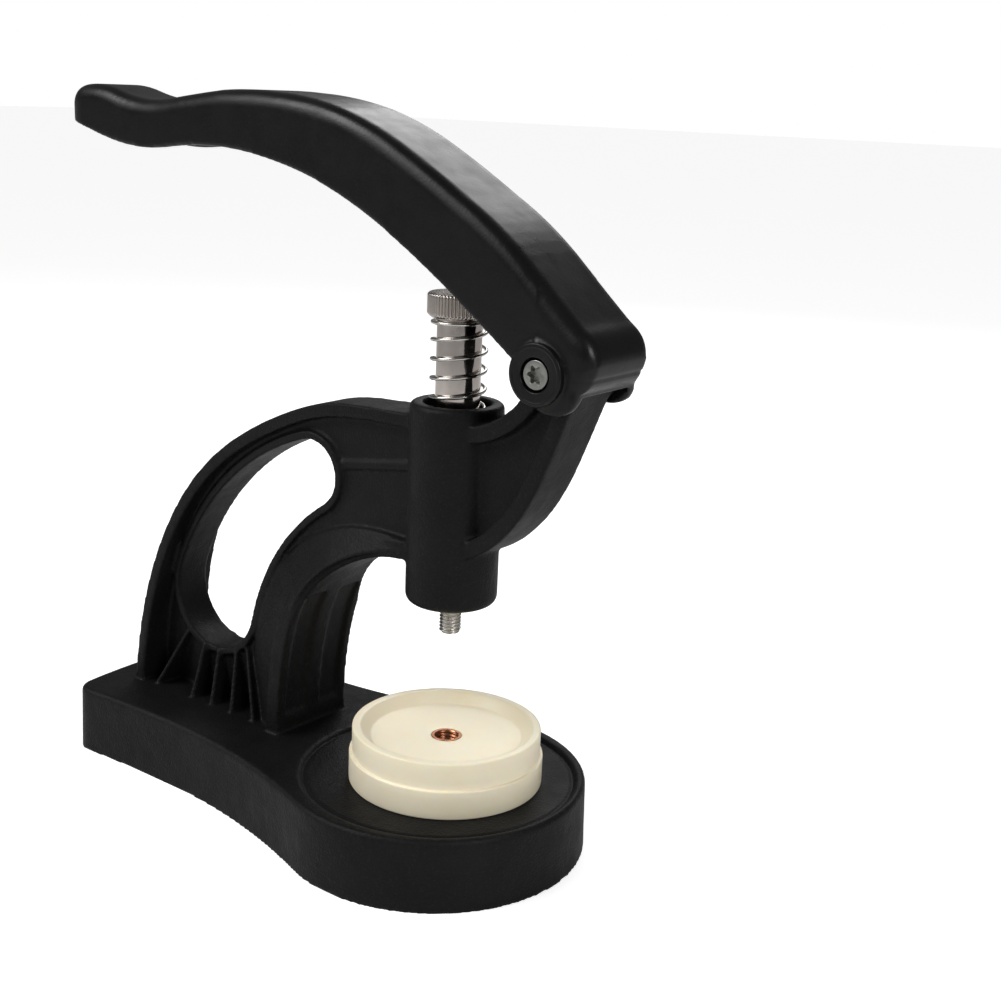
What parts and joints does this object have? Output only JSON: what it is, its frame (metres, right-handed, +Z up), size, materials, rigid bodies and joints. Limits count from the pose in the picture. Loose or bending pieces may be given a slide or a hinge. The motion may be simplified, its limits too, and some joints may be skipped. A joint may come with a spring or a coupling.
{
  "type": "watch case press",
  "caption": "Bench press for closing watch cases: hinged hand lever, sprung plunger with threaded stud, and a round die on a base stud, in a moulded C-frame.",
  "frame": {"origin": "under the middle of the press's length and width, level with the underside of the base; the plunger axis is at x = 0.05025", "axes": "+X to the front, the pivot end; +Y to the left; +Z up"},
  "size_m": [0.2025, 0.088, 0.2055],
  "materials": {
    "frame": "fine-grained black nylon",
    "handle": "smooth semi-gloss black nylon",
    "die": "ivory nylon with fine turning marks",
    "insert": "coppery threaded insert",
    "polished": "ground and polished steel",
    "knob": "nickel plated, straight knurled",
    "zinc": "bright zinc plated thread",
    "spring": "bright spring wire",
    "steel": "plain steel",
    "screws": "zinc plated star-drive screws",
    "bush": "sintered bronze"
  },
  "bodies": {
    "frame": {"frame_body": "frame", "base_stud": "zinc", "bolt_washer": "zinc", "guide_bush": "bush", "spring_seat": "steel", "return_spring": "spring"},
    "lever": {"handle": "handle", "pivot_axle": "steel", "pivot_washers": "steel", "pivot_screws": "screws"},
    "plunger": {"plunger_shaft": "polished", "plunger_knob": "knob", "upper_stud": "zinc"},
    "die": {"die_body": "die", "die_insert": "insert"}
  },
  "joints": [
    {"name": "handle_pivot", "type": "hinge", "parent": "frame", "child": "lever", "pos_m": [0.08605, 0, 0.142], "axis": [0, -1, 0], "range_deg": [0, 26]},
    {"name": "plunger_slide", "type": "slide", "parent": "frame", "child": "plunger", "axis": [0, 0, -1], "range_m": [0, 0.0159], "deforming": ["return_spring"]},
    {"name": "die_lift", "type": "slide", "parent": "frame", "child": "die", "axis": [0, 0, 1], "range_m": [0, 0.01]}
  ],
  "couplings": [
    {"joint": "plunger_slide", "follows": "handle_pivot", "m_per_rad": 0.03495}
  ]
}
